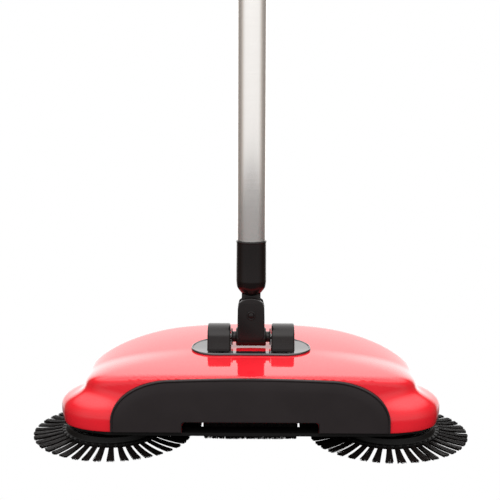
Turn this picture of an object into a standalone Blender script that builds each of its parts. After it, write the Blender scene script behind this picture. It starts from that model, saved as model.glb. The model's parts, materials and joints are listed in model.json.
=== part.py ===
"""Push carpet sweeper: a low shell over a roller brush, two side brushes, wheels and gears,
with a three-piece tube handle on a two-way joint.

All sizes below are millimetres. X points right, Y to the rear (the user's side), Z up.
The origin is the middle of the ground under the sweeper.
"""
import math

import bmesh
import bpy
from mathutils import Matrix, Vector

MM = 0.001
GAP = 0.3            # clearance between pieces that touch
SIDES = {"left": -1, "right": 1}

# Shell: a crowned dome with a flat front, joined to a round fender over each side brush.
WALL = 2.4
RIM_Z = 21.3
HALF_WIDTH = 148.5
FRONT_Y = -92.0
REAR_Y = 110.0
MIDDLE_Y = 5.0
CROWN_Z = 82.1
CROWN_Y = 57.6
SHOULDER_Z = 46.6    # where the dome's side wall starts to turn in
FENDER_R = 44.8
FENDER_MID_Z = 32.0
FENDER_RISE = 17.0

# Front cover: a flat arch with a notch that lets the dirt in.
COVER_Y = -95.0
COVER_HALF = 119.5
COVER_TOP_Z = 69.6
COVER_CORNER = (53.5, 36.8)
COVER_DROP = 1.6        # of the arch's top, from its middle to where the corners start
COVER_BOTTOM_Z = 21.8
CLEARANCE = 0.7      # from the shell's true surface, which its facets only follow
NOTCH_HALF = 58.5
NOTCH_TOP_Z = 31.0

# Running gear.
BRUSH_X = 123.0
SHAFT_Y = -39.0
SHAFT_Z = 25.0
SHAFT_R = 3.0
BRUSH_LEAN = math.radians(3.3)    # forward, about the cross shaft, so the front tufts touch the floor
TUFT_TIP_R = 71.2
TUFT_TIP_Z = 4.07       # this and the hub's heights are along the leaning axis
HUB_R = 44.0
HUB_Z = (6.4, 15.2)
ROLLER_R = 25.0
ROLLER_HALF = 42.4
WHEEL_Y = 30.0
WHEEL_R = 28.0
WHEEL_X = (56.0, 68.0)
GEAR_X = (48.3, 53.7)
MODULE = 2.0
PINION_TEETH = 10
IDLER_TEETH = 18
WHEEL_TEETH = 24
BEVEL_TEETH = 16
CENTRE_SLACK = 0.3
BEVEL_FACE = 5.0

# Chassis, rear rollers and dust box.
PLATE_Z = (18.2, 21.0)
INNER_WALL_X = (43.3, 45.6)
OUTER_WALL_X = (70.5, 73.0)
BOX_HALF = 42.4
BOX_Y = (-8.0, 104.0)
BOX_Z = (9.0, 44.0)
FACE_Y = 112.5
TAIL_Y = 86.0
TAIL_R = 8.0
TAIL_X = (56.0, 66.0)
SCREW_SPOTS = {"front": (78.0, -70.0), "rear": (98.0, 60.0)}

# Handle joint: the fork tips about X at the pivot, the socket swings about Y above it.
PIVOT = (0.0, -18.5, 88.6)
SWING_Z = 109.6
DRUM_R = 11.3         # behind the pivot
DRUM_REACH = 15.0     # in front of it
DRUM_RISE = 12.1      # above it
DRUM_X = (18.2, 38.8)
WINDOW_Y = (-31.5, -0.5)    # opening in the saddle plate under the fork
CHEEK_TOP_R = 15.6   # round the swing pin, just under the socket
SOCKET_Z = (125.9, 176.1)
SOCKET_R = 13.5
PLATE_HALF = (53.8, 24.6)

# Handle tubes.
TUBE_R = 12.5
TUBE_WALL = 0.7
TUBE_LENGTH = 270.0
COLLAR = 9.0
SPIGOT_R = TUBE_R - TUBE_WALL - GAP
GRIP_LENGTH = 112.0
CAP_HEIGHT = 30.0


# ---------------------------------------------------------------- modelling helpers

def clear_scene():
    for old in list(bpy.data.objects):
        bpy.data.objects.remove(old, do_unlink=True)


def material(name, colour, roughness, metallic=0.0):
    made = bpy.data.materials.get(name)
    if made:
        return made
    made = bpy.data.materials.new(name)
    made.use_nodes = True
    shader = made.node_tree.nodes["Principled BSDF"]
    shader.inputs["Base Color"].default_value = (*colour, 1.0)
    shader.inputs["Roughness"].default_value = roughness
    shader.inputs["Metallic"].default_value = metallic
    return made


def red_gloss():
    return material("red_gloss_plastic", (0.72, 0.025, 0.04), 0.12)


def black_plastic():
    return material("black_plastic", (0.022, 0.018, 0.019), 0.38)


def grey_plastic():
    return material("grey_plastic", (0.20, 0.20, 0.21), 0.45)


def bristle_black():
    return material("bristle_black", (0.012, 0.012, 0.013), 0.6)


def rubber():
    return material("rubber", (0.03, 0.03, 0.03), 0.8)


def steel():
    return material("steel", (0.55, 0.54, 0.52), 0.3, 1.0)


def stainless():
    return material("stainless_tube", (0.66, 0.63, 0.60), 0.22, 1.0)


def pivot(name, place):
    """An empty on a joint's axis, which the moving pieces hang from."""
    empty = bpy.data.objects.new(name, None)
    empty.location = Vector(place) * MM
    bpy.context.collection.objects.link(empty)
    return empty


def body(name, bm, look, parent=None, place=(0, 0, 0), turn=None):
    """Closes a bmesh in millimetres into an object. The place is relative to the parent."""
    bmesh.ops.remove_doubles(bm, verts=bm.verts, dist=1e-4)
    bmesh.ops.triangulate(bm, faces=bm.faces)
    bmesh.ops.recalc_face_normals(bm, faces=bm.faces)
    if turn:
        bmesh.ops.transform(bm, matrix=turn, verts=bm.verts)
    bmesh.ops.scale(bm, vec=(MM, MM, MM), verts=bm.verts)
    mesh = bpy.data.meshes.new(name)
    bm.to_mesh(mesh)
    bm.free()
    mesh.materials.append(look)
    mesh.shade_smooth()
    mesh.set_sharp_from_angle(angle=math.radians(35))
    made = bpy.data.objects.new(name, mesh)
    made.location = Vector(place) * MM
    made.parent = parent
    bpy.context.collection.objects.link(made)
    return made


def loft(rings, closed=False):
    """Skins rings of equally many points; the ends are capped unless the loft closes on itself."""
    bm = bmesh.new()
    rows = [[bm.verts.new(p) for p in ring] for ring in rings]
    count = len(rows[0])
    pairs = list(zip(rows, rows[1:]))
    if closed:
        pairs.append((rows[-1], rows[0]))
    for low, high in pairs:
        for i in range(count):
            j = (i + 1) % count
            bm.faces.new((low[i], low[j], high[j], high[i]))
    if not closed:
        bm.faces.new(rows[0][::-1])
        bm.faces.new(rows[-1])
    return bm


def prism(outline, low, high):
    """An XY outline raised from low to high along Z."""
    return loft([[(x, y, z) for x, y in outline] for z in (low, high)])


def block(low, high):
    x0, y0, z0 = low
    x1, y1, z1 = high
    return prism([(x0, y0), (x1, y0), (x1, y1), (x0, y1)], z0, z1)


def circle(radius, sides, start=0.0):
    step = 2 * math.pi / sides
    return [(radius * math.cos(start + i * step), radius * math.sin(start + i * step))
            for i in range(sides)]


def rod(radius, low, high, sides=12):
    return prism(circle(radius, sides), low, high)


def turned(profile, sides=20, open_ends=False):
    """Spins (radius, height) points round Z. Open ends mean a profile that starts and ends
    on the axis side and is capped flat; otherwise the profile is a closed section."""
    rings = [[(x, y, h) for x, y in circle(r, sides)] for r, h in profile]
    return loft(rings, closed=not open_ends)


def ring(outer, inner, low, high, sides=20):
    return turned([(inner, low), (outer, low), (outer, high), (inner, high)], sides)


ALONG_X = Matrix.Rotation(math.radians(90), 4, "Y")
ALONG_Y = Matrix.Rotation(math.radians(-90), 4, "X")
# Turns an outline in XY into one in YZ, raised along X.
FACE_X = Matrix(((0, 0, 1, 0), (1, 0, 0, 0), (0, 1, 0, 0), (0, 0, 0, 1)))
LEAN = Matrix.Rotation(BRUSH_LEAN, 4, "X")


def tool(bm, place=(0, 0, 0), turn=None, name="cutter"):
    """A hidden solid that a Boolean works with."""
    made = body(name, bm, black_plastic(), None, place, turn)
    made.hide_render = True
    made.display_type = "WIRE"
    return made


def combine(target, other, how):
    step = target.modifiers.new(other.name, "BOOLEAN")
    step.operation = how
    step.object = other


def cut(target, bm, place=(0, 0, 0), turn=None):
    combine(target, tool(bm, place, turn), "DIFFERENCE")


def add(target, bm, place=(0, 0, 0), turn=None):
    combine(target, tool(bm, place, turn, "addition"), "UNION")


def clean_flats():
    """Merges the slivers that the Booleans leave on flat faces."""
    for piece in bpy.data.objects:
        if piece.modifiers and not piece.hide_render:
            step = piece.modifiers.new("flats", "DECIMATE")
            step.decimate_type = "DISSOLVE"
            step.angle_limit = math.radians(0.4)


# ---------------------------------------------------------------- shell surface

def smooth_max(a, b, width):
    h = min(1.0, max(0.0, 0.5 + 0.5 * (a - b) / width))
    return b * (1 - h) + a * h + width * h * (1 - h)


def ease(y, start, end):
    """0 at start, 1 at end, with a soft change between them."""
    t = min(1.0, max(0.0, (y - start) / (end - start)))
    return t * t * (3 - 2 * t)


def dome_field(x, y, z):
    """Negative inside the dome, roughly a distance in millimetres. Its section is squarer in front."""
    rear = y > MIDDLE_Y
    squarer = ease(y, -15.0, -75.0)
    if y < CROWN_Y:
        crown = CROWN_Z - 11.0 * ((CROWN_Y - y) / 140) ** 2
    else:
        crown = CROWN_Z - 21.0 * ((y - CROWN_Y) / 50) ** 2
    crown += 0.8 * squarer
    rise = max(z - SHOULDER_Z, 0) / max(crown - SHOULDER_Z, 4)
    section = 50 * (((abs(x) / HALF_WIDTH) ** (1.92 + 1.88 * squarer) + rise ** 2.67) ** (1 / 2.4) - 1)
    reach = REAR_Y - MIDDLE_Y if rear else MIDDLE_Y - FRONT_Y
    power = 2.3 if rear else 5.0
    plan = (abs(x) / (HALF_WIDTH + 1.5)) ** power + (abs(y - MIDDLE_Y) / reach) ** power
    softness = 4.5 + 45.5 * min(1, max(0, (y - MIDDLE_Y) / 80))
    return smooth_max(section, 100 * (plan ** (1 / power) - 1), softness)


def fender_field(x, y, z):
    across = math.hypot(abs(x) - BRUSH_X, y - SHAFT_Y) / FENDER_R
    if z > FENDER_MID_Z:
        height = (z - FENDER_MID_Z) / FENDER_RISE
    else:
        height = (FENDER_MID_Z - z) / 33
    return FENDER_R * ((across ** 2.43 + height ** 2.43) ** (1 / 2.43) - 1)


def shell_field(x, y, z):
    """The dome and the fenders in one skin, which flows together more in front."""
    blend = 7.6 + 18.4 * ease(y, -40.0, -75.0)
    return -smooth_max(-dome_field(x, y, z), -fender_field(x, y, z), blend)


def surface_point(start, direction, reach=240.0):
    """Walks from a point inside the shell out to its outer surface."""
    near, far = 0.0, reach
    for _ in range(30):
        mid = (near + far) / 2
        if shell_field(*(start + direction * mid)) < 0:
            near = mid
        else:
            far = mid
    return start + direction * near


def surface_height(x, y):
    return surface_point(Vector((x, y, RIM_Z)), Vector((0, 0, 1)), 80.0).z


def surface_front(x, z):
    """Y of the shell's front wall at this X and Z."""
    return surface_point(Vector((x, MIDDLE_Y, z)), Vector((0, -1, 0)), 150.0).y


def surface_normal(p):
    e = 0.05
    slope = [shell_field(*(p + Vector(d) * e)) - shell_field(*(p - Vector(d) * e))
             for d in ((1, 0, 0), (0, 1, 0), (0, 0, 1))]
    return Vector(slope).normalized()


def shell_rings(around=72, up=9):
    """Rings of points on the outer surface from the rim to near the crown."""
    centre = Vector((0, 0, RIM_Z))
    rings = []
    for j in range(up):
        lift = math.radians(88) * (j / (up - 1)) ** 0.9
        flat = math.cos(lift)
        rings.append([surface_point(centre, Vector((flat * c, flat * s, math.sin(lift))))
                      for c, s in circle(1, around)])
    return rings


def inset_point(p, depth):
    moved = p - surface_normal(p) * depth
    if p.z < RIM_Z + 0.01:
        moved.z = RIM_Z
    return moved


def rounded_box(half_x, half_y, radius, steps=4):
    """An XY outline of a box with round corners, anticlockwise."""
    points = []
    for k, (sx, sy) in enumerate(((1, 1), (-1, 1), (-1, -1), (1, -1))):
        for i in range(steps + 1):
            a = math.radians(90) * (k + i / steps)
            points.append((sx * (half_x - radius) + radius * math.cos(a),
                           sy * (half_y - radius) + radius * math.sin(a)))
    return points


def stadium(half_x, half_y, arc_steps=6, straight_steps=4):
    """A slot-shaped XY outline with points along its straight sides too."""
    straight = half_x - half_y
    points = []
    for side in (1, -1):
        points += [(side * straight * (1 - 2 * i / straight_steps), side * half_y)
                   for i in range(1, straight_steps)]
        points += [(-side * (straight + half_y * math.sin(a)), side * half_y * math.cos(a))
                   for a in (math.pi * i / arc_steps for i in range(arc_steps + 1))]
    return points


# ---------------------------------------------------------------- casings

def top_shell():
    outer = shell_rings()
    inner = [[inset_point(p, WALL) for p in ring_points] for ring_points in outer]
    bm = loft(outer[::-1] + inner)
    shell = body("top_shell", bm, red_gloss())
    for sx in SIDES.values():
        for spot_x, spot_y in SCREW_SPOTS.values():
            around = [surface_height(spot_x + dx, spot_y + dy) for dx in (-4, 4) for dy in (-4, 4)]
            top = min(around) - WALL / 2
            add(shell, ring(4.0, 1.9, RIM_Z + 0.4, top, 10), (sx * spot_x, spot_y, 0))
    cut(shell, block((-NOTCH_HALF, -99, 0), (NOTCH_HALF, -70, NOTCH_TOP_Z - 0.6)))
    cut(shell, block((-50, 80, 0), (50, 130, 48.2)))
    return shell


def arch_outline(inset=0.0, corner_steps=9, top_steps=6):
    """The cover's XZ outline from the right foot of the notch round to the left, inset all round."""
    half = COVER_HALF - inset
    rx, rz = COVER_CORNER[0] - inset, COVER_CORNER[1] - inset
    crown = COVER_TOP_Z - inset
    shoulder = COVER_HALF - COVER_CORNER[0]
    foot = COVER_BOTTOM_Z + inset
    right = [(NOTCH_HALF + inset, foot), (half, foot)]
    for i in range(corner_steps + 1):
        a = math.radians(90) * i / corner_steps
        right.append((shoulder + rx * math.cos(a), crown - COVER_DROP - rz + rz * math.sin(a)))
    for i in range(1, top_steps):
        x = shoulder * (1 - i / top_steps)
        right.append((x, crown - COVER_DROP * (x / shoulder) ** 2))
    right.append((0.0, crown))
    notch = [(NOTCH_HALF - 3 + inset, NOTCH_TOP_Z + inset), (NOTCH_HALF + inset, NOTCH_TOP_Z - 3 + inset)]
    left = [(-x, z) for x, z in reversed(right[:-1])]
    left_notch = [(-x, z) for x, z in reversed(notch)]
    return right + left + left_notch + notch


def front_cover():
    """A shallow tray on edge: a flat face with a bevelled border that reaches back to the shell."""
    edge, wall, face = 1.1, 3.0, 1.7

    def at(outline, y):
        return [(x, y, z) for x, z in outline]

    def against_shell(outline):
        return [(x, surface_front(x, z) - CLEARANCE, z) for x, z in outline]

    rings = [at(arch_outline(edge), COVER_Y),
             at(arch_outline(), COVER_Y + edge),
             against_shell(arch_outline()),
             against_shell(arch_outline(wall)),
             at(arch_outline(wall), COVER_Y + face)]
    return body("front_cover", loft(rings), black_plastic())


def knuckle(half):
    """A drum round the pivot, deeper in front, that runs down into a foot; its ends are rounded over."""
    outline = []
    for i in range(10):
        a = math.radians(20 + 150 * i / 9)
        depth = DRUM_R if math.cos(a) > 0 else DRUM_REACH
        outline.append((depth * math.cos(a), DRUM_RISE * math.sin(a)))
    outline += [(-18.0, -7.6), (-18.2, -10.4), (14.0, -7.3), (12.6, -4.6)]
    rings = []
    for x, size in ((-half, 0.84), (-half + 1.0, 0.95), (-half + 3.0, 1.0),
                    (half - 3.0, 1.0), (half - 1.0, 0.95), (half, 0.84)):
        rings.append([(y * size, z * size if z > -6 else z, x) for y, z in outline])
    return loft(rings)


def hinge_plate():
    """A stadium saddle that follows the shell, with a round drum on each side of the joint."""
    lift, thick, bead = 0.5, 1.2, 0.5

    def lifted(inset, above):
        outline = stadium(PLATE_HALF[0] - inset, PLATE_HALF[1] - inset)
        return [(x, y + PIVOT[1], surface_height(x, y + PIVOT[1]) + above)
                for x, y in outline]

    inner = (24.0, 16.0, 8.0)
    rings = [lifted(inset, lift) for inset in inner]
    rings += [lifted(0.0, lift), lifted(0.0, lift + thick), lifted(0.7, lift + thick + bead),
              lifted(2.0, lift + thick + bead), lifted(3.2, lift + thick)]
    rings += [lifted(inset, lift + thick) for inset in inner[::-1]]
    plate = body("hinge_plate", loft(rings), black_plastic())
    for sx in SIDES.values():
        middle = sx * (DRUM_X[0] + DRUM_X[1]) / 2
        half = (DRUM_X[1] - DRUM_X[0]) / 2
        add(plate, knuckle(half), (middle, PIVOT[1], PIVOT[2]), FACE_X)
    cut(plate, rod(2.8, -36.0, 36.0), PIVOT, ALONG_X)
    window_half = (WINDOW_Y[1] - WINDOW_Y[0]) / 2
    cut(plate, prism(rounded_box(18.0, window_half, 3.0, 2), 60, 100), (0, sum(WINDOW_Y) / 2, 0))
    return plate


def chassis():
    outline = [(p.x * 0.985, p.y * 0.985) for p in shell_rings(40, 2)[0]]
    floor = body("chassis", prism(outline, *PLATE_Z), black_plastic())
    low, high = PLATE_Z
    for sx in SIDES.values():
        def mirror_block(x0, x1, y0, y1, z0, z1):
            a, b = sorted((sx * x0, sx * x1))
            return block((a, y0, z0), (b, y1, z1))
        cut(floor, mirror_block(INNER_WALL_X[0] - 1, OUTER_WALL_X[1] - 1, -53.0, 62.0, 10, 25))
        cut(floor, rod(31.5, 10, 25, 24), (sx * BRUSH_X, SHAFT_Y, 0))
        add(floor, mirror_block(*INNER_WALL_X, -66.0, -11.0, low - 3, 55.6))
        add(floor, mirror_block(*INNER_WALL_X, -11.5, 96.0, 6.2, 48.4))
        add(floor, mirror_block(40.0, INNER_WALL_X[1] - 0.7, 4.0, 95.0, 6.2, 8.4))
        add(floor, mirror_block(*OUTER_WALL_X, -56.0, 64.0, low, 44.0))
        add(floor, mirror_block(OUTER_WALL_X[0], BRUSH_X + 6, -46.0, -32.0, 39.0, 42.6))
        crossing = (sx * BRUSH_X, SHAFT_Y, SHAFT_Z)
        add(floor, rod(6.0, 29.5 - SHAFT_Z, 40 - SHAFT_Z), crossing, LEAN)
        cut(floor, rod(SHAFT_R + 0.4, 20 - SHAFT_Z, 38 - SHAFT_Z), crossing, LEAN)
        for ear in (TAIL_X[0] - 2.8, TAIL_X[1] + 0.5):
            add(floor, mirror_block(ear, ear + 2.3, TAIL_Y - 5, TAIL_Y + 5, 5.0, low + 1))
        for spot_x, spot_y in SCREW_SPOTS.values():
            cut(floor, rod(2.4, 10, 30, 8), (sx * spot_x, spot_y, 0))
    cut(floor, block((-INNER_WALL_X[0], -72, 10), (INNER_WALL_X[0], 125, 25)))
    cut(floor, block((-50, 101.5, 10), (50, 125, 25)))
    add(floor, block((-44, -66, 53.0), (44, -11.0, 55.6)))
    add(floor, block((-44, -11.5, 46.0), (44, 90, 48.4)))
    span = OUTER_WALL_X[1] + 2
    cut(floor, rod(SHAFT_R + 0.5, -span, span), (0, SHAFT_Y, SHAFT_Z), ALONG_X)
    cut(floor, rod(SHAFT_R + 0.4, -span, span), (0, WHEEL_Y, WHEEL_R), ALONG_X)
    idler_y, idler_z = idler_centre()
    cut(floor, rod(2.9, -47, 47, 12), (0, idler_y, idler_z), ALONG_X)
    cut(floor, rod(2.3, -70, 70, 12), (0, TAIL_Y, TAIL_R), ALONG_X)
    return floor


def dust_box(slide):
    """An open tray with a ramped lip at the roller, and its face piece at the back."""
    x0, x1 = -BOX_HALF, BOX_HALF
    place = Vector(slide.location) / MM
    tray = body("dust_box", block((x0, BOX_Y[0], BOX_Z[0]), (x1, BOX_Y[1], BOX_Z[1])), black_plastic())
    cut(tray, block((x0 + 1.8, BOX_Y[0] + 1.8, BOX_Z[0] + 2.0), (x1 - 1.8, BOX_Y[1] - 2.2, 60)))
    cut(tray, block((x0 - 5, BOX_Y[0] - 5, BOX_Z[0] + 9), (x1 + 5, BOX_Y[0] + 6, 60)))
    outline = rounded_box(49.3, 19.0, 6.0)
    lift = Matrix.Rotation(math.radians(90), 4, "X")
    face = body("dust_box_face", loft([[(x, z, -d) for x, z in shape] for shape, d in (
        (outline, BOX_Y[1] + GAP), (outline, FACE_Y - 2.0),
        (rounded_box(47.5, 17.2, 4.6), FACE_Y))]), black_plastic(), None, (0, 0, 28.3), lift)
    grip = rounded_box(19.0, 7.0, 6.5)
    cut(face, prism(grip, -FACE_Y - 3, -FACE_Y + 5.5), (0, 0, 22.5), lift)
    for piece in (tray, face):
        piece.parent = slide
        piece.location -= place * MM


# ---------------------------------------------------------------- running gear

def gear_outline(teeth, scale=1.0, phase=0.0, addendum=0.80, dedendum=1.15):
    """Trapezoid teeth with free play, so that two gears turn without touching."""
    radius = MODULE * teeth / 2
    pitch = 2 * math.pi / teeth
    points = []
    for i in range(teeth):
        middle = phase + i * pitch
        for share, r in ((-0.29, -dedendum), (-0.10, addendum), (0.10, addendum), (0.29, -dedendum)):
            a = middle + share * pitch
            reach = (radius + r * MODULE) * scale
            points.append((reach * math.cos(a), reach * math.sin(a)))
    return points


def idler_centre():
    """Y and Z where the idler meets both the shaft pinion and the wheel gear."""
    to_pinion = MODULE * (PINION_TEETH + IDLER_TEETH) / 2 + CENTRE_SLACK
    to_wheel = MODULE * (WHEEL_TEETH + IDLER_TEETH) / 2 + CENTRE_SLACK
    dy, dz = WHEEL_Y - SHAFT_Y, WHEEL_R - SHAFT_Z
    span = math.hypot(dy, dz)
    along = (to_pinion ** 2 - to_wheel ** 2 + span ** 2) / (2 * span)
    above = math.sqrt(to_pinion ** 2 - along ** 2)
    return (SHAFT_Y + (along * dy - above * dz) / span, SHAFT_Z + (along * dz + above * dy) / span)


def gear_phases():
    """Tooth angles that put a tooth of each gear into a gap of the next, seen along X.

    Angles run from Y towards Z. The pinion starts with a tooth on +Y."""
    idler_y, idler_z = idler_centre()
    to_idler = math.atan2(idler_z - SHAFT_Z, idler_y - SHAFT_Y)
    to_wheel = math.atan2(WHEEL_R - idler_z, WHEEL_Y - idler_y)
    pinion_pitch = 2 * math.pi / PINION_TEETH
    idler_pitch = 2 * math.pi / IDLER_TEETH
    wheel_pitch = 2 * math.pi / WHEEL_TEETH
    # The pinion's phase at the contact, as a share of a tooth, is met by the idler half a tooth off.
    share = (to_idler / pinion_pitch) % 1.0
    idler = to_idler + math.pi + (share - 0.5) * idler_pitch
    share = ((to_wheel - idler) / idler_pitch) % 1.0
    wheel = to_wheel + math.pi + (share - 0.5) * wheel_pitch
    return idler, wheel


def spur_gear(name, teeth, phase, x_range, bore, parent, hub=None):
    low, high = sorted(x_range)
    gear = body(name, prism(gear_outline(teeth, 1.0, phase), low, high), grey_plastic(), parent,
                turn=FACE_X)
    cutter = tool(rod(bore, low - 30, high + 30), turn=FACE_X)
    cutter.parent = parent
    if hub:
        extra = tool(rod(hub[0], *sorted(hub[1:]), 16), turn=FACE_X, name="addition")
        extra.parent = parent
        combine(gear, extra, "UNION")
    combine(gear, cutter, "DIFFERENCE")
    return gear


def roller(spin):
    """The shaft across the machine, its brush roller, two pinions and two small bevels."""
    end = BRUSH_X - MODULE * BEVEL_TEETH / 2 + 3.5
    body("cross_shaft", rod(SHAFT_R, -end, end, 16), steel(), spin, turn=FACE_X)
    bore = SHAFT_R + GAP
    body("roller_core", ring(10.0, bore, -ROLLER_HALF, ROLLER_HALF, 16), black_plastic(), spin,
         turn=FACE_X)
    body("roller_bristles", ring(ROLLER_R, 10.0 + GAP, -ROLLER_HALF + 1, ROLLER_HALF - 1, 24),
         bristle_black(), spin, turn=FACE_X)
    for side, sx in SIDES.items():
        spur_gear(f"pinion_{side}", PINION_TEETH, 0.0, [sx * x for x in GEAR_X], bore, spin)
        shaft_bevel(side, sx, spin, bore)


def bevel_rings(teeth, apex, sign, phase):
    """Two outlines that shrink towards the point where the two axes cross."""
    shrink = 1 - BEVEL_FACE / math.hypot(MODULE * PINION_TEETH / 2, MODULE * BEVEL_TEETH / 2)
    rings = []
    for scale in (1.0, shrink):
        height = sign * apex * scale
        rings.append([(x, y, height) for x, y in gear_outline(teeth, scale, phase, 0.7, 1.0)])
    return rings


def shaft_bevel(side, sx, spin, bore):
    apex = MODULE * BEVEL_TEETH / 2
    gear = body(f"shaft_bevel_{side}", loft(bevel_rings(PINION_TEETH, apex, -sx, 0.0)),
                grey_plastic(), spin, (sx * BRUSH_X, 0, 0), LEAN @ FACE_X)
    low, high = sorted((-sx * (apex - 0.5), -sx * (apex + 7)))
    hub = tool(rod(6.2, low, high), turn=FACE_X, name="addition")
    hole = tool(rod(bore, -40, 40), turn=FACE_X)
    for part in (hub, hole):
        part.parent = spin
        part.location = (sx * BRUSH_X * MM, 0, 0)
    combine(gear, hub, "UNION")
    combine(gear, hole, "DIFFERENCE")


def idlers():
    idler_y, idler_z = idler_centre()
    phase, _ = gear_phases()
    for side, sx in SIDES.items():
        spin = pivot(f"idler_axis_{side}", (0, idler_y, idler_z))
        spur_gear(f"idler_gear_{side}", IDLER_TEETH, phase, [sx * x for x in GEAR_X], 2.8, spin,
                  (6.0, sx * (GEAR_X[0] - 1.2), sx * (GEAR_X[1] + 1.0)))
        pin = prism(circle(2.5, 16), *sorted((sx * 43.6, sx * 56.0)))
        head = rod(4.2, *sorted((sx * 55.4, sx * 57.2)), 16)
        made = body(f"idler_pin_{side}", pin, steel(), None, (0, idler_y, idler_z), FACE_X)
        add(made, head, (0, idler_y, idler_z), FACE_X)


def wheels():
    _, phase = gear_phases()
    for side, sx in SIDES.items():
        spin = pivot(f"wheel_axis_{side}", (0, WHEEL_Y, WHEEL_R))
        inner, outer = (sx * x for x in WHEEL_X)
        seat = GEAR_X[1] + 1.1
        spur_gear(f"wheel_{side}", WHEEL_TEETH, phase, [sx * GEAR_X[0], sx * seat], SHAFT_R + GAP, spin,
                  (WHEEL_R - 3.3, sx * (seat - 0.2), outer))
        tread = [(WHEEL_R - 3.0, 0.0), (WHEEL_R - 0.8, 0.0), (WHEEL_R, 1.6), (WHEEL_R, 10.4),
                 (WHEEL_R - 0.8, 12.0), (WHEEL_R - 3.0, 12.0)]
        body(f"tyre_{side}", turned([(r, min(inner, outer) + h) for r, h in tread], 24), rubber(),
             spin, turn=FACE_X)
        low, high = sorted((sx * 43.6, sx * 73.2))
        body(f"wheel_axle_{side}", rod(SHAFT_R, low, high, 16), steel(), None,
             (0, WHEEL_Y, WHEEL_R), FACE_X)


def tail_rollers():
    for side, sx in SIDES.items():
        spin = pivot(f"tail_axis_{side}", (0, TAIL_Y, TAIL_R))
        low, high = sorted(sx * x for x in TAIL_X)
        body(f"tail_roller_{side}", ring(TAIL_R, 2.3, low, high, 20), rubber(), spin, turn=FACE_X)
        low, high = sorted((sx * 52.6, sx * 69.4))
        body(f"tail_pin_{side}", rod(2.0, low, high, 14), steel(), None, (0, TAIL_Y, TAIL_R), FACE_X)


def side_brush(side, sx):
    spin = pivot(f"brush_axis_{side}", (sx * BRUSH_X, SHAFT_Y, SHAFT_Z))
    spin.rotation_euler.x = BRUSH_LEAN
    foot = (0, 0, -SHAFT_Z)
    low, high = HUB_Z
    bore = SHAFT_R + GAP
    hub = [(bore, low + 2.6), (6.5, low + 2.6), (6.5, low), (HUB_R, low), (HUB_R, low + 1.5),
           (HUB_R - 3.2, high), (HUB_R - 6.5, high), (HUB_R - 8.0, low + 3.2), (9.8, low + 3.2),
           (9.8, low + 4.0), (bore, low + 4.0)]
    body(f"brush_hub_{side}", turned(hub, 24), black_plastic(), spin, foot)
    under = low - GAP
    tufts = [(38.0, TUFT_TIP_Z), (TUFT_TIP_R, TUFT_TIP_Z), (TUFT_TIP_R, TUFT_TIP_Z + 2.2),
             (HUB_R + GAP, TUFT_TIP_Z + 6.0), (HUB_R + GAP, under), (38.0, under)]
    body(f"brush_bristles_{side}", turned(tufts, 28), bristle_black(), spin, foot)
    spindle = [(1.8, low + 0.6), (SHAFT_R, low + 0.6), (SHAFT_R, 37.0), (1.0, 37.0), (1.0, 18.0), (1.8, 18.0)]
    body(f"brush_spindle_{side}", turned(spindle, 14), steel(), spin, foot)
    screw = [(1.5, 16.0), (1.5, low + 0.3), (5.2, low + 0.3), (5.2, low - 1.0), (4.0, low - 1.8)]
    body(f"brush_screw_{side}", turned(screw, 14, True), steel(), spin, foot)
    apex = MODULE * PINION_TEETH / 2
    gear = body(f"spindle_bevel_{side}", loft(bevel_rings(BEVEL_TEETH, apex, -1, 0.0)), grey_plastic(), spin)
    base = tool(rod(9.0, low + 4.3 - SHAFT_Z, -apex + 0.5, 16), name="addition")
    hole = tool(rod(bore, -30, 10))
    for part in (base, hole):
        part.parent = spin
    combine(gear, base, "UNION")
    combine(gear, hole, "DIFFERENCE")


def case_screws():
    for side, sx in SIDES.items():
        for spot, (x, y) in SCREW_SPOTS.items():
            profile = [(3.2, PLATE_Z[0] - 2.2), (3.8, PLATE_Z[0] - 1.6), (3.8, PLATE_Z[0] - GAP),
                       (1.6, PLATE_Z[0] - GAP), (1.6, 34.0)]
            body(f"case_screw_{spot}_{side}", turned(profile, 10, True), steel(), None, (sx * x, y, 0))


# ---------------------------------------------------------------- handle

def handle_joint(tip, swing):
    """The fork on the hinge pin, and the pin that the socket swings on."""
    rise = SWING_Z - PIVOT[2]
    half = [(8.3, 13.2), (4.8, 13.6), (4.8, 16.4), (7.6, 16.7), (7.6, 17.4), (7.2, 17.7)]
    barrel = turned([(r, -x) for r, x in reversed(half)] + half, 18, True)
    fork = body("swivel_fork", barrel, black_plastic(), tip, turn=ALONG_X)
    crown = [(CHEEK_TOP_R * math.sin(a), rise + CHEEK_TOP_R * math.cos(a))
             for a in (math.radians(42 - 14 * i) for i in range(7))]
    cheek = [(-8.2, -2.0), (8.2, -2.0), (12.1, 1.0), (12.1, rise), (11.8, rise + 7), *crown,
             (-11.8, rise + 7), (-12.1, rise), (-12.1, 1.0)]
    stand = Matrix.Rotation(math.radians(90), 4, "X")
    extras = [("UNION", prism(cheek, -8.6, 8.6), stand),
              ("DIFFERENCE", block((-14, -5.5, rise - 10.5), (14, 5.5, rise + 25)), None),
              ("DIFFERENCE", rod(2.8, -20, 20), ALONG_X)]
    for how, bm, turn in extras:
        part = tool(bm, turn=turn)
        part.parent = tip
        combine(fork, part, how)
    bore = tool(rod(2.3, -20, 20), (0, 0, rise), ALONG_Y)
    bore.parent = tip
    combine(fork, bore, "DIFFERENCE")
    body("hinge_pin", rod(2.5, -35.6, 35.6, 16), steel(), None, PIVOT, ALONG_X)
    pin = turned([(3.7, -9.6), (3.7, -8.9), (2.0, -8.9), (2.0, 8.9), (3.7, 8.9), (3.7, 9.6)], 14, True)
    body("swing_pin", pin, steel(), swing, turn=ALONG_Y)


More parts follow.
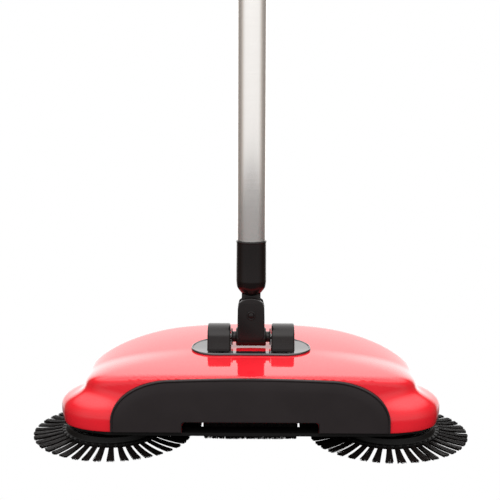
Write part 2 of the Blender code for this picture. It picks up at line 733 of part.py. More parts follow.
def handle_socket(swing):
    """The round socket, its flat tang on the swing pin, and its spigot inside the tube."""
    low, high = (z - SWING_Z for z in SOCKET_Z)
    profile = [(8.6, low), (10.6, low + 2.6), (12.2, low + 6.0), (SOCKET_R, low + 10.5),
               (SOCKET_R, high - 0.8), (SOCKET_R - 0.7, high), (SPIGOT_R, high), (SPIGOT_R, high + 26),
               (SPIGOT_R - 1.5, high + 28)]
    socket = body("handle_socket", turned(profile, 20, True), black_plastic(), swing)
    tang = [(8.4 * math.cos(a), 8.4 * math.sin(a)) for a in
            (math.radians(180 + 180 * i / 10) for i in range(11))] + [(8.4, low + 4), (-8.4, low + 4)]
    stand = Matrix.Rotation(math.radians(90), 4, "X")
    for how, bm, turn in (("UNION", prism(tang, -5.0, 5.0), stand),
                          ("DIFFERENCE", rod(2.3, -15, 15), ALONG_Y)):
        part = tool(bm, turn=turn)
        part.parent = swing
        combine(socket, part, how)


def handle_tubes(swing):
    """Three equal tubes with a collar at each of the two joins, a grip and a hanging cap."""
    start = SOCKET_Z[1] - SWING_Z + GAP
    for i, name in enumerate(("lower", "middle", "upper")):
        end = start + TUBE_LENGTH
        body(f"{name}_tube", ring(TUBE_R, TUBE_R - TUBE_WALL, start, end, 20), stainless(), swing)
        if i < 2:
            low = end + GAP
            joiner = [(SPIGOT_R - 1.2, low - 26), (SPIGOT_R, low - 24), (SPIGOT_R, low), (TUBE_R + 0.6, low),
                      (TUBE_R + 0.6, low + COLLAR), (SPIGOT_R, low + COLLAR), (SPIGOT_R, low + COLLAR + 24),
                      (SPIGOT_R - 1.2, low + COLLAR + 26)]
            body(f"tube_joiner_{i + 1}", turned(joiner, 16, True), black_plastic(), swing)
            start = low + COLLAR + GAP
    low = end + GAP
    outer = [(SPIGOT_R - 1.2, low - 30), (SPIGOT_R, low - 28), (SPIGOT_R, low), (14.2, low), (15.2, low + 2)]
    for i in range(1, 6):
        share = i / 6
        outer.append((15.2 + 1.6 * math.sin(math.pi * share), low + 2 + (GRIP_LENGTH - 4) * share))
    outer += [(15.2, low + GRIP_LENGTH - 2), (14.6, low + GRIP_LENGTH)]
    body("handle_grip", turned(outer, 20, True), black_plastic(), swing)
    base = low + GRIP_LENGTH + GAP
    cap = body("hang_cap", turned([(14.6, base), (14.9, base + 4), (13.2, base + 8)], 20, True),
               black_plastic(), swing)
    eye = [(11.0 * math.cos(a), base + CAP_HEIGHT - 11.0 + 11.0 * math.sin(a))
           for a in (math.radians(180 * i / 12) for i in range(13))] + [(-11.0, base + 3), (11.0, base + 3)]
    stand = Matrix.Rotation(math.radians(90), 4, "X")
    for how, bm, turn, place in (("UNION", prism(eye, -4.5, 4.5), stand, (0, 0, 0)),
                                 ("DIFFERENCE", rod(6.0, -20, 20, 20), ALONG_Y,
                                  (0, 0, base + CAP_HEIGHT - 11.5))):
        part = tool(bm, place, turn)
        part.parent = swing
        combine(cap, part, how)


def main():
    clear_scene()
    top_shell()
    front_cover()
    hinge_plate()
    chassis()
    case_screws()
    dust_box(pivot("dust_box_slide", (0, FACE_Y, 28.0)))
    roller(pivot("roller_axis", (0, SHAFT_Y, SHAFT_Z)))
    idlers()
    wheels()
    tail_rollers()
    for side, sx in SIDES.items():
        side_brush(side, sx)
    tip = pivot("handle_tip_axis", PIVOT)
    swing = pivot("handle_swing_axis", (0, 0, SWING_Z - PIVOT[2]))
    swing.parent = tip
    handle_joint(tip, swing)
    handle_socket(swing)
    handle_tubes(swing)
    clean_flats()


main()
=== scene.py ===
"""Looks for the carpet sweeper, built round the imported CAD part.

Lengths are millimetres in the part's own frame and become metres when a mesh is made.
"""
import json
import math
import random

import bmesh
import bpy
import numpy as np
from mathutils import Matrix, Vector


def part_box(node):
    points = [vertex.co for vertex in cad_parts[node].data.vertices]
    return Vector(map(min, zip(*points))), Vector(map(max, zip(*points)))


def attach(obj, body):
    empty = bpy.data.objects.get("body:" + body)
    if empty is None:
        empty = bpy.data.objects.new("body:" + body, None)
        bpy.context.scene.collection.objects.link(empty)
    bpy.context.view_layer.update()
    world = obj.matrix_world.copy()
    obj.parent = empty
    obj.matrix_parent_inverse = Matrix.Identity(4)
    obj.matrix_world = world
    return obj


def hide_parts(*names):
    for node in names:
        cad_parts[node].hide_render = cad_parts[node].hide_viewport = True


MM = 0.001
SIDES = {"left": -1, "right": 1}

# Shell surface: the same formula as the part's.
WALL = 2.4
RIM_Z = 21.3
HALF_WIDTH = 148.5
FRONT_Y, REAR_Y, MIDDLE_Y = -92.0, 110.0, 5.0
CROWN_Z, CROWN_Y, SHOULDER_Z = 82.1, 57.6, 46.6
FENDER_R, FENDER_MID_Z, FENDER_RISE = 44.8, 32.0, 17.0
NOTCH_HALF, NOTCH_TOP_Z = 58.5, 31.0

# Front cover.
COVER_Y, COVER_HALF, COVER_TOP_Z, COVER_BOTTOM_Z = -95.0, 119.5, 69.6, 21.8
COVER_CORNER, COVER_DROP = (53.5, 36.8), 1.6

# Running gear.
BRUSH_X, SHAFT_Y, SHAFT_Z = 123.0, -39.0, 25.0
TUFT_TIP_R, TUFT_TIP_Z, HUB_R = 71.2, 4.07, 44.0
BRUSH_LEAN = math.radians(3.3)
TUFTS = 40
WHEEL_Y, WHEEL_R = 30.0, 28.0
PLATE_BOTTOM_Z = 18.2
SCREW_SPOTS = {"front": (78.0, -70.0), "rear": (98.0, 60.0)}

# Handle joint and tubes.
PIVOT = Vector((0.0, -18.5, 88.6))
SWING_Z = 109.6
SADDLE_HALF = (53.8, 24.6)
TUBE_R, SPIGOT_R = 12.5, 11.5


# ---------------------------------------------------------------- frame

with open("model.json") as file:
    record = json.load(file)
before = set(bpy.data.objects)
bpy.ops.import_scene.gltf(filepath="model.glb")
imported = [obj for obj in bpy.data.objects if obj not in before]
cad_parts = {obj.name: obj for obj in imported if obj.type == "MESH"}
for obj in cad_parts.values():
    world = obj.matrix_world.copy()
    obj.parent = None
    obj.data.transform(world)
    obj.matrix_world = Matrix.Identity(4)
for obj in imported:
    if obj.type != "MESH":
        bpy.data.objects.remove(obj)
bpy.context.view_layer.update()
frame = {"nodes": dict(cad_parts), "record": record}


def box_mm(node):
    low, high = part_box(node)
    return Vector(low) / MM, Vector(high) / MM


# ---------------------------------------------------------------- materials

def shader_material(name):
    made = bpy.data.materials.new(name)
    made.use_nodes = True
    return made, made.node_tree, made.node_tree.nodes["Principled BSDF"]


def noise(tree, scale, detail=4.0, stretch=(1, 1, 1)):
    """A noise texture in the piece's own space, with its Factor output. Scale counts per metre."""
    place = tree.nodes.new("ShaderNodeTexCoord")
    shape = tree.nodes.new("ShaderNodeMapping")
    shape.inputs["Scale"].default_value = stretch
    made = tree.nodes.new("ShaderNodeTexNoise")
    made.inputs["Scale"].default_value = scale
    made.inputs["Detail"].default_value = detail
    tree.links.new(place.outputs["Object"], shape.inputs["Vector"])
    tree.links.new(shape.outputs["Vector"], made.inputs["Vector"])
    return made.outputs["Fac"]


def ranged(tree, value, low, high, start=0.3, end=0.7):
    """Maps a 0 to 1 value onto low to high."""
    made = tree.nodes.new("ShaderNodeMapRange")
    made.inputs["From Min"].default_value = start
    made.inputs["From Max"].default_value = end
    made.inputs["To Min"].default_value = low
    made.inputs["To Max"].default_value = high
    tree.links.new(value, made.inputs["Value"])
    return made.outputs["Result"]


def two_tones(tree, value, dark, light, start=0.3, end=0.7):
    made = tree.nodes.new("ShaderNodeValToRGB")
    made.color_ramp.elements[0].position = start
    made.color_ramp.elements[0].color = (*dark, 1)
    made.color_ramp.elements[1].position = end
    made.color_ramp.elements[1].color = (*light, 1)
    tree.links.new(value, made.inputs["Fac"])
    return made.outputs["Color"]


def bump(tree, shader, height, strength, distance):
    made = tree.nodes.new("ShaderNodeBump")
    made.inputs["Strength"].default_value = strength
    made.inputs["Distance"].default_value = distance
    tree.links.new(height, made.inputs["Height"])
    tree.links.new(made.outputs["Normal"], shader.inputs["Normal"])


def moulded(name, colour, roughness, grain=2200.0, grain_depth=0.00002, specular=0.5, tint=0.12,
            strength=0.35):
    """Moulded plastic: a fine grain, and slow changes of tone and gloss over the surface."""
    made, tree, shader = shader_material(name)
    slow = noise(tree, 26.0, 3.0)
    dark = [c * (1 - tint) for c in colour]
    light = [c * (1 + tint) for c in colour]
    tree.links.new(two_tones(tree, slow, dark, light), shader.inputs["Base Color"])
    fine = noise(tree, grain, 2.0)
    tree.links.new(ranged(tree, noise(tree, 90.0, 5.0), roughness * 0.88, roughness * 1.12),
                   shader.inputs["Roughness"])
    shader.inputs["Specular IOR Level"].default_value = specular
    bump(tree, shader, fine, strength, grain_depth)
    return made


def shell_red():
    made, tree, shader = shader_material("shell_red_gloss")
    slow = noise(tree, 14.0, 2.0)
    tree.links.new(two_tones(tree, slow, (0.475, 0.0080, 0.0145), (0.510, 0.0110, 0.0190)),
                   shader.inputs["Base Color"])
    tree.links.new(ranged(tree, noise(tree, 60.0, 4.0), 0.045, 0.075), shader.inputs["Roughness"])
    shader.inputs["IOR"].default_value = 1.5
    bump(tree, shader, noise(tree, 240.0, 1.0), 0.05, 0.0001)
    return made


def tube_stainless():
    """Polished stainless steel with fine polishing lines round the tube."""
    made, tree, shader = shader_material("tube_stainless_polished")
    lines = noise(tree, 9.0, 6.0, (6.0, 6.0, 900.0))
    tree.links.new(two_tones(tree, lines, (0.86, 0.835, 0.81), (0.95, 0.93, 0.91)),
                   shader.inputs["Base Color"])
    tree.links.new(ranged(tree, lines, 0.13, 0.22), shader.inputs["Roughness"])
    shader.inputs["Metallic"].default_value = 0.82
    bump(tree, shader, lines, 0.12, 0.00001)
    return made


def turned_steel():
    made, tree, shader = shader_material("pin_steel_turned")
    lines = noise(tree, 700.0, 4.0)
    tree.links.new(two_tones(tree, lines, (0.46, 0.45, 0.44), (0.60, 0.59, 0.57)),
                   shader.inputs["Base Color"])
    tree.links.new(ranged(tree, lines, 0.22, 0.38), shader.inputs["Roughness"])
    shader.inputs["Metallic"].default_value = 1.0
    bump(tree, shader, lines, 0.2, 0.00002)
    return made


def filament():
    """Black nylon filament, a little glossy, with a warmer tone from strand to strand."""
    made, tree, shader = shader_material("bristle_black_nylon")
    strands = noise(tree, 420.0, 3.0)
    tree.links.new(two_tones(tree, strands, (0.0015, 0.0014, 0.0014), (0.0060, 0.0042, 0.0038)),
                   shader.inputs["Base Color"])
    tree.links.new(ranged(tree, strands, 0.36, 0.55), shader.inputs["Roughness"])
    shader.inputs["Specular IOR Level"].default_value = 0.14
    bump(tree, shader, noise(tree, 1500.0, 2.0), 0.2, 0.00002)
    return made


def tread_rubber():
    made, tree, shader = shader_material("tread_rubber_black")
    specks = noise(tree, 1400.0, 4.0)
    tree.links.new(two_tones(tree, specks, (0.016, 0.016, 0.016), (0.034, 0.033, 0.032)),
                   shader.inputs["Base Color"])
    tree.links.new(ranged(tree, specks, 0.66, 0.86), shader.inputs["Roughness"])
    bump(tree, shader, specks, 0.5, 0.00005)
    return made


LOOKS = {
    "shell_red": shell_red(),
    "cover_black": moulded("cover_black_satin", (0.0125, 0.0100, 0.0104), 0.34, specular=0.16),
    "joint_black": moulded("joint_black_satin", (0.0040, 0.0026, 0.0026), 0.24, specular=0.30),
    "saddle_black": moulded("saddle_black_gloss", (0.012, 0.010, 0.012), 0.08, grain_depth=0.000004,
                            specular=1.0),
    "base_black": moulded("base_black_moulded", (0.0030, 0.0028, 0.0028), 0.45, specular=0.16),
    "grip_black": moulded("grip_black_soft", (0.014, 0.013, 0.013), 0.62, 1500.0, 0.00006, 0.4, 0.15, 0.6),
    "gear_grey": moulded("gear_grey_acetal", (0.20, 0.20, 0.21), 0.42),
    "bristle_black": filament(),
    "tread_rubber": tread_rubber(),
    "pin_steel": turned_steel(),
    "tube_stainless": tube_stainless(),
}


# ---------------------------------------------------------------- mesh helpers

def new_object(name, mesh):
    made = bpy.data.objects.new(name, mesh)
    bpy.context.scene.collection.objects.link(made)
    return made


def mesh_from(name, verts, faces):
    """A mesh from points in millimetres."""
    mesh = bpy.data.meshes.new(name)
    mesh.from_pydata([tuple(c * MM for c in v) for v in verts], [], faces)
    mesh.update()
    return mesh


def outward(mesh):
    bm = bmesh.new()
    bm.from_mesh(mesh)
    bmesh.ops.remove_doubles(bm, verts=bm.verts, dist=1e-8)
    bmesh.ops.recalc_face_normals(bm, faces=bm.faces)
    bm.to_mesh(mesh)
    bm.free()


def solid(name, rings, closed=False, turn=None, place=(0, 0, 0)):
    """Skins rings of equally many points into a closed object."""
    count = len(rings[0])
    verts = [Vector(p) for ring_points in rings for p in ring_points]
    matrix = Matrix.Translation(Vector(place)) @ (turn or Matrix.Identity(4))
    verts = [matrix @ v for v in verts]
    faces = []
    last = len(rings) if closed else len(rings) - 1
    for k in range(last):
        a, b = k * count, (k + 1) % len(rings) * count
        faces += [(a + i, a + (i + 1) % count, b + (i + 1) % count, b + i) for i in range(count)]
    if not closed:
        faces.append(tuple(range(count))[::-1])
        faces.append(tuple((len(rings) - 1) * count + i for i in range(count)))
    mesh = mesh_from(name, verts, faces)
    outward(mesh)
    return new_object(name, mesh)


def rounded(points, radii, steps=4, closed=True):
    """Turns each corner of an outline into an arc with that radius."""
    if isinstance(radii, (int, float)):
        radii = [radii] * len(points)
    made = []
    for i, (p, radius) in enumerate(zip(points, radii)):
        if radius <= 0 or (not closed and i in (0, len(points) - 1)):
            made.append(tuple(p))
            continue
        corner = Vector(p)
        back = Vector(points[i - 1]) - corner
        ahead = Vector(points[(i + 1) % len(points)]) - corner
        reach = 0.49 * min(back.length, ahead.length)
        back.normalize()
        ahead.normalize()
        half = math.acos(max(-1.0, min(1.0, back.dot(ahead)))) / 2
        if half > math.radians(89):
            made.append(tuple(p))
            continue
        cut = min(radius / math.tan(half), reach)
        middle = corner + (back + ahead).normalized() * cut / math.cos(half)
        start, end = corner + back * cut - middle, corner + ahead * cut - middle
        sweep = math.atan2(start.x * end.y - start.y * end.x, start.dot(end))
        base = math.atan2(start.y, start.x)
        made += [tuple(middle + start.length * Vector((math.cos(base + sweep * k / steps),
                                                       math.sin(base + sweep * k / steps))))
                 for k in range(steps + 1)]
    return made


def lathe(name, profile, sides=64, closed=False, turn=None, place=(0, 0, 0)):
    """Spins (radius, height) points round Z."""
    angles = [2 * math.pi * i / sides for i in range(sides)]
    rings = [[(r * math.cos(a), r * math.sin(a), h) for a in angles] for r, h in profile]
    return solid(name, rings, closed, turn, place)


def offset(outline, depth):
    """Moves an anticlockwise outline's points inwards."""
    made = []
    count = len(outline)
    for i in range(count):
        a, b, c = Vector(outline[i - 1]), Vector(outline[i]), Vector(outline[(i + 1) % count])
        u, v = (b - a).normalized(), (c - b).normalized()
        inward = Vector((-(u + v).y, (u + v).x)).normalized()
        lean = max(0.5, inward.dot(Vector((-u.y, u.x))))
        made.append(tuple(b + inward * depth / lean))
    return made


def slab(name, outline, low, high, edge=0.8, steps=3, turn=None, place=(0, 0, 0)):
    """Raises an outline from low to high with rounded edges."""
    rings = []
    for k in range(steps + 1):
        a = math.radians(90) * k / steps
        rings.append([(x, y, low + edge * (1 - math.sin(a)))
                      for x, y in offset(outline, edge * (1 - math.cos(a)))])
    rings = rings[::-1] if rings[0][0][2] > rings[-1][0][2] else rings
    lower = [[(x, y, low + edge * (1 - math.sin(math.radians(90) * k / steps)))
              for x, y in offset(outline, edge * (1 - math.cos(math.radians(90) * k / steps)))]
             for k in range(steps, -1, -1)]
    upper = [[(x, y, high + low - z) for x, y, z in ring_points] for ring_points in lower[::-1]]
    return solid(name, lower + upper, False, turn, place)


def box_outline(half_x, half_y, radius, steps=6, centre=(0, 0)):
    cx, cy = centre
    corners = [(cx - half_x, cy - half_y), (cx + half_x, cy - half_y),
               (cx + half_x, cy + half_y), (cx - half_x, cy + half_y)]
    return rounded(corners, radius, steps)


def boolean(target, other, operation):
    """Joins or cuts, and keeps the result as the target's own mesh."""
    step = target.modifiers.new("step", "BOOLEAN")
    step.operation = operation
    step.solver = "EXACT"
    step.object = other
    bpy.context.view_layer.update()
    state = bpy.context.evaluated_depsgraph_get()
    made = bpy.data.meshes.new_from_object(target.evaluated_get(state))
    target.modifiers.clear()
    target.data = made
    bpy.data.objects.remove(other, do_unlink=True)
    return target


def join(target, *others):
    for other in others:
        boolean(target, other, "UNION")
    return target


def cut(target, *others):
    for other in others:
        boolean(target, other, "DIFFERENCE")
    return target


def show(made, name, look, body, nodes=(), sharp=32.0):
    """Finishes a piece: its name, finish, shading and body, and hides the CAD nodes that it stands for."""
    made.name = name
    made.data.name = name
    made.data.materials.clear()
    made.data.materials.append(LOOKS[look])
    made.data.polygons.foreach_set("material_index", [0] * len(made.data.polygons))
    made.data.shade_smooth()
    made.data.set_sharp_from_angle(angle=math.radians(sharp))
    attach(made, body)
    if nodes:
        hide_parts(*nodes)
    return made


TO_X = Matrix.Rotation(math.radians(90), 4, "Y")
TO_Y = Matrix.Rotation(math.radians(-90), 4, "X")
UPRIGHT = Matrix.Rotation(math.radians(90), 4, "X")     # an XY outline stands up in XZ, raised along -Y
SIDEWAYS = Matrix(((0, 0, 1, 0), (1, 0, 0, 0), (0, 1, 0, 0), (0, 0, 0, 1)))    # XY becomes YZ, raised along X


# ---------------------------------------------------------------- shell surface

def smooth_max(a, b, width):
    h = np.clip(0.5 + 0.5 * (a - b) / width, 0, 1)
    return b * (1 - h) + a * h + width * h * (1 - h)


def ease(y, start, end):
    t = np.clip((y - start) / (end - start), 0, 1)
    return t * t * (3 - 2 * t)


def dome_field(x, y, z):
    squarer = ease(y, -15.0, -75.0)
    crown = np.where(y < CROWN_Y, CROWN_Z - 11.0 * ((CROWN_Y - y) / 140) ** 2,
                     CROWN_Z - 21.0 * ((y - CROWN_Y) / 50) ** 2) + 0.8 * squarer
    rise = np.maximum(z - SHOULDER_Z, 0) / np.maximum(crown - SHOULDER_Z, 4)
    section = 50 * (((abs(x) / HALF_WIDTH) ** (1.92 + 1.88 * squarer) + rise ** 2.67) ** (1 / 2.4) - 1)
    rear = y > MIDDLE_Y
    reach = np.where(rear, REAR_Y - MIDDLE_Y, MIDDLE_Y - FRONT_Y)
    power = np.where(rear, 2.3, 5.0)
    plan = (abs(x) / (HALF_WIDTH + 1.5)) ** power + (abs(y - MIDDLE_Y) / reach) ** power
    softness = 4.5 + 45.5 * np.clip((y - MIDDLE_Y) / 80, 0, 1)
    return smooth_max(section, 100 * (plan ** (1 / power) - 1), softness)


def fender_field(x, y, z):
    across = np.hypot(abs(x) - BRUSH_X, y - SHAFT_Y) / FENDER_R
    height = np.where(z > FENDER_MID_Z, (z - FENDER_MID_Z) / FENDER_RISE, (FENDER_MID_Z - z) / 33)
    return FENDER_R * ((across ** 2.43 + height ** 2.43) ** (1 / 2.43) - 1)


def shell_field(p):
    x, y, z = p[..., 0], p[..., 1], p[..., 2]
    blend = 7.6 + 18.4 * ease(y, -40.0, -75.0)
    return -smooth_max(-dome_field(x, y, z), -fender_field(x, y, z), blend)


def walk_out(start, direction, reach=240.0):
    """Walks from points inside the shell out to its outer surface."""
    start, direction = np.broadcast_arrays(np.asarray(start, float), np.asarray(direction, float))
    near = np.zeros(start.shape[:-1])
    far = near + reach
    for _ in range(36):
        mid = (near + far) / 2
        inside = shell_field(start + direction * mid[..., None]) < 0
        near, far = np.where(inside, mid, near), np.where(inside, far, mid)
    return start + direction * near[..., None]


def surface_normal(p):
    e = 0.05
    slope = np.stack([shell_field(p + np.array(d) * e) - shell_field(p - np.array(d) * e)
                      for d in ((1, 0, 0), (0, 1, 0), (0, 0, 1))], -1)
    return slope / np.linalg.norm(slope, axis=-1, keepdims=True)


def surface_height(x, y):
    start = np.stack([np.asarray(x, float), np.asarray(y, float), np.zeros(np.shape(x)) + RIM_Z], -1)
    return walk_out(start, (0, 0, 1), 80.0)[..., 2]


def surface_front(x, z):
    start = np.stack([np.asarray(x, float), np.zeros(np.shape(x)) + MIDDLE_Y, np.asarray(z, float)], -1)
    return walk_out(start, (0, -1, 0), 150.0)[..., 1]


def top_shell():
    """The glossy shell with a rounded lower edge, the dirt notch in front and the drawer's window."""
    around, up = 300, 100
    angle = np.arange(around) * 2 * math.pi / around
    lift = np.radians(89.0) * ((np.arange(up) + 0.35) / up) ** 0.92
    direction = np.stack([np.cos(lift)[:, None] * np.cos(angle), np.cos(lift)[:, None] * np.sin(angle),
                          np.sin(lift)[:, None] * np.ones(around)], -1)
    outer = walk_out((0, 0, RIM_Z), direction)
    normal = surface_normal(outer)
    inner = outer - normal * WALL
    inner[..., 2] = np.maximum(inner[..., 2], RIM_Z)
    foot = walk_out((0, 0, RIM_Z), np.stack([np.cos(angle), np.sin(angle), np.zeros(around)], -1))
    side = surface_normal(foot) * (1, 1, 0)
    side /= np.linalg.norm(side, axis=-1, keepdims=True)
    rim = [foot - side * depth + np.array((0, 0, rise)) for depth, rise in ((0.02, 0.45), (0.18, 0.12), (0.5, 0.0))]
    back = foot - side * WALL
    rings = [*outer[::-1], *rim, back, *inner[1::2]]
    shell = solid("shell", rings)
    notch = [(-NOTCH_HALF, -10), (NOTCH_HALF, -10), (NOTCH_HALF, NOTCH_TOP_Z - 0.6),
             (-NOTCH_HALF, NOTCH_TOP_Z - 0.6)]
    window = [(-50, -10), (50, -10), (50, 48.2), (-50, 48.2)]
    cut(shell,
        solid("notch", [[(x, y, z) for x, z in rounded(notch, [0, 0, 3, 3], 4)] for y in (-99, -70)]),
        solid("window", [[(x, y, z) for x, z in rounded(window, [0, 0, 6, 6], 6)] for y in (80, 130)]))
    return show(shell, "shell", "shell_red", "base", ["top_shell"], sharp=40)


def screw_bosses():
    for side, sx in SIDES.items():
        for spot, (x, y) in SCREW_SPOTS.items():
            top = float(min(surface_height(x + dx, y + dy) for dx in (-5, 5) for dy in (-5, 5))) - WALL / 2
            profile = rounded([(1.9, RIM_Z + 0.4), (4.0, RIM_Z + 0.4), (4.4, top), (1.9, top)], [0, 0.6, 0, 0], 3)
            made = lathe("boss", profile, 24, True, place=(sx * x, y, 0))
            show(made, f"screw_boss_{spot}_{side}", "shell_red", "base")


# ---------------------------------------------------------------- front cover

def arch_outline(inset, foot_inset, corner_steps=20, top_steps=20):
    """The cover's XZ outline, inset along its arch and less along its foot and notch."""
    half = COVER_HALF - inset
    rx, rz = COVER_CORNER[0] - inset, COVER_CORNER[1] - inset
    shoulder = COVER_HALF - COVER_CORNER[0]
    foot = COVER_BOTTOM_Z + foot_inset
    right = [(NOTCH_HALF + foot_inset, foot), (half, foot)]
    for i in range(corner_steps + 1):
        a = math.radians(90) * i / corner_steps
        right.append((shoulder + rx * math.cos(a), COVER_TOP_Z - COVER_DROP - inset - rz + rz * math.sin(a)))
    for i in range(1, top_steps):
        x = shoulder * (1 - i / top_steps)
        right.append((x, COVER_TOP_Z - inset - COVER_DROP * (x / shoulder) ** 2))
    corner = rounded([(NOTCH_HALF - 12 + foot_inset, NOTCH_TOP_Z + foot_inset),
                      (NOTCH_HALF + foot_inset, NOTCH_TOP_Z + foot_inset),
                      (NOTCH_HALF + foot_inset, foot)], [0, 3.0, 0], 6, closed=False)[:-1]
    left = [(-x, z) for x, z in reversed(right)]
    return right + [(0.0, COVER_TOP_Z - inset)] + left + [(-x, z) for x, z in reversed(corner)] + corner


def front_cover():
    """A satin cover with a thin bead and groove round its arch, and a soft band inside them."""
    front = ((11.0, -95.0), (10.2, -94.98), (9.2, -94.92), (2.9, -94.62), (2.5, -94.5), (2.2, -94.0),
             (1.9, -94.0), (1.6, -94.5), (1.3, -94.75), (0.9, -94.8), (0.45, -94.6), (0.12, -94.2), (0.0, -93.6))
    rings = []
    for inset, y in front:
        outline = arch_outline(inset, min(inset, 0.8) if y > -94.9 else 0.8)
        edge = y if inset < 0.8 else None
        low = COVER_BOTTOM_Z + 0.8
        rings.append([(x, (min(y, -94.3) if z < low + 0.01 and edge is None else y), z) for x, z in outline])
    for inset, y in ((0.0, None), (3.0, None), (3.0, COVER_Y + 1.7)):
        outline = arch_outline(inset, inset)
        xs = [x for x, _ in outline]
        zs = [z for _, z in outline]
        if y is None:
            ys = surface_front(xs, zs) - 0.15
        else:
            ys = [y] * len(xs)
        rings.append(list(zip(xs, ys, zs)))
    cover = solid("cover", rings)
    return show(cover, "front_cover_satin", "cover_black", "base", ["front_cover"], sharp=28)


# ---------------------------------------------------------------- handle joint

def stadium(half_x, half_y, arc_steps=20, straight_steps=10):
    straight = half_x - half_y
    points = []
    for side in (1, -1):
        points += [(side * straight * (1 - 2 * i / straight_steps), side * half_y)
                   for i in range(1, straight_steps)]
        points += [(-side * (straight + half_y * math.sin(a)), side * half_y * math.cos(a))
                   for a in (math.pi * i / arc_steps for i in range(arc_steps + 1))]
    return points


def hinge_saddle():
    """The glossy saddle plate in its rounded bead, with the window under the joint."""
    base, thick = -0.2, 1.5

    def lifted(inset, above):
        outline = np.array(stadium(SADDLE_HALF[0] - inset, SADDLE_HALF[1] - inset))
        y = outline[:, 1] + PIVOT.y
        return [(x, yy, h + above) for x, yy, h in zip(outline[:, 0], y, surface_height(outline[:, 0], y))]

    insides = (23.5, 20.0, 16.0, 12.0, 8.0, 5.0)
    bead = [(0.1, base + 0.4), (0.0, thick - 0.5), (0.08, thick), (0.35, thick + 0.35), (0.8, thick + 0.5),
            (1.25, thick + 0.35), (1.55, thick), (1.8, thick - 0.3)]

    def dish(inset):
        """The plate's face is a shallow dish, so it lies lower towards the middle."""
        return 0.25 + 1.05 * (1 - min(inset, 24.0) / 24.6) ** 2.2

    rings = [lifted(inset, base) for inset in insides] + [lifted(0.4, base)]
    rings += [lifted(inset, above) for inset, above in bead]
    rings += [lifted(inset, dish(inset)) for inset in (2.2, 3.4, *insides[::-1])]
    plate = solid("saddle", rings)
    window = slab("window", box_outline(18.0, 15.5, 3.0), 60, 100, 0.1, 1, place=(0, PIVOT.y + 2.5, 0))
    cut(plate, window)
    return show(plate, "hinge_saddle", "saddle_black", "base", ["hinge_plate"])


def knuckle(side, sx):
    """A round drum on the pivot, deeper in front, whose foot runs down to the saddle."""
    inner, outer = 18.2, 38.8
    outline = []
    for i in range(25):
        a = math.radians(18 + 154 * i / 24)
        depth = 11.3 if math.cos(a) > 0 else 15.0
        outline.append((depth * math.cos(a), 12.1 * math.sin(a)))
    outline += rounded([outline[-1], (-17.9, -7.2), (-18.3, -9.8), (13.6, -6.6), (12.6, -4.0), outline[0]],
                       [0, 2.0, 0.4, 0.4, 1.0, 0], 4, closed=False)[1:-1]
    low, high = sorted((sx * inner, sx * outer))
    made = slab("knuckle", outline, low, high, 1.9, 5, SIDEWAYS, PIVOT)
    return show(made, f"hinge_knuckle_{side}", "joint_black", "base")


def pin_cap(name, radius, turn, place, look, body, nodes=()):
    """A round pin end with a shallow dimple in a raised ring."""
    profile = rounded([(0.01, -1.6), (radius, -1.6), (radius, 0.55), (radius * 0.72, 0.55), (radius * 0.62, 0.1),
                       (0.01, 0.1)], [0, 0, 0.35, 0.2, 0.2, 0], 3, closed=False)
    return show(lathe("cap", profile, 40, turn=turn, place=place), name, look, body, nodes)


def swivel_fork():
    """The barrel on the hinge pin with a flange at each end, and the two cheeks above it."""
    rise = SWING_Z - PIVOT.z
    crown = [(15.6 * math.sin(a), rise + 15.6 * math.cos(a)) for a in (math.radians(42 - 7 * i) for i in range(13))]
    half = [(8.3, 13.4), (4.8, 13.4), (4.8, 16.5), (7.6, 16.5), (7.6, 17.7), (0.01, 17.7)]
    barrel = rounded([(r, -x) for r, x in reversed(half)] + half,
                     [0, 0.35, 0.3, 0.6, 0.6, 0.9, 0.9, 0.6, 0.6, 0.3, 0.35, 0], 4, closed=False)
    fork = lathe("fork", barrel, 72, turn=TO_X, place=PIVOT)
    flank = [(12.1, 1.5), (12.1, rise - 4), (11.9, rise + 6), (crown[0][0] + 0.4, crown[0][1] - 1.0)]
    cheek = rounded([(-9.4, -2.2), (9.4, -2.2), *flank, *crown, *((-x, z) for x, z in reversed(flank))],
                    [2, 2, 3, 12, 3, 0.8, *([0] * len(crown)), 0.8, 3, 12, 3], 5)
    join(fork, slab("cheeks", cheek, -8.6, 8.6, 1.1, 4, UPRIGHT, PIVOT))
    slot = slab("slot", box_outline(14.0, 5.5, 0.6, 2), rise - 10.5, rise + 20, 0.1, 1, None, PIVOT)
    bore = lathe("bore", [(0.01, -20), (2.7, -20), (2.7, 20), (0.01, 20)], 32, turn=TO_X, place=PIVOT)
    pin_hole = lathe("hole", [(0.01, -20), (2.2, -20), (2.2, 20), (0.01, 20)], 32, turn=TO_Y,
                     place=(PIVOT.x, PIVOT.y, SWING_Z))
    cut(fork, slot, bore, pin_hole)
    return show(fork, "swivel_fork_moulded", "joint_black", "fork", ["swivel_fork"], sharp=30)


def swing_pin():
    """The pin that the socket swings on: a shaft with a black dimpled cap at each end."""
    place = Vector((PIVOT.x, PIVOT.y, SWING_Z))
    shaft = lathe("pin", [(0.01, -8.7), (2.0, -8.7), (2.0, 8.7), (0.01, 8.7)], 32, turn=TO_Y, place=place)
    show(shaft, "swing_pin_shaft", "pin_steel", "handle", ["swing_pin"])
    for end, facing in (("front", Matrix.Rotation(math.radians(90), 4, "X")), ("rear", TO_Y)):
        reach = -8.95 if end == "front" else 8.95
        profile = rounded([(0.01, -0.25), (4.1, -0.25), (4.0, 0.75), (3.1, 0.8), (2.8, 0.2), (2.5, 0.2), (2.1, 0.9),
                           (0.01, 1.15)], [0, 0, 0.55, 0.3, 0.15, 0.15, 0.8, 0], 5, closed=False)
        cap = lathe("cap", profile, 48, turn=facing, place=place + Vector((0, reach, 0)))
        show(cap, f"swing_pin_cap_{end}", "joint_black", "handle")


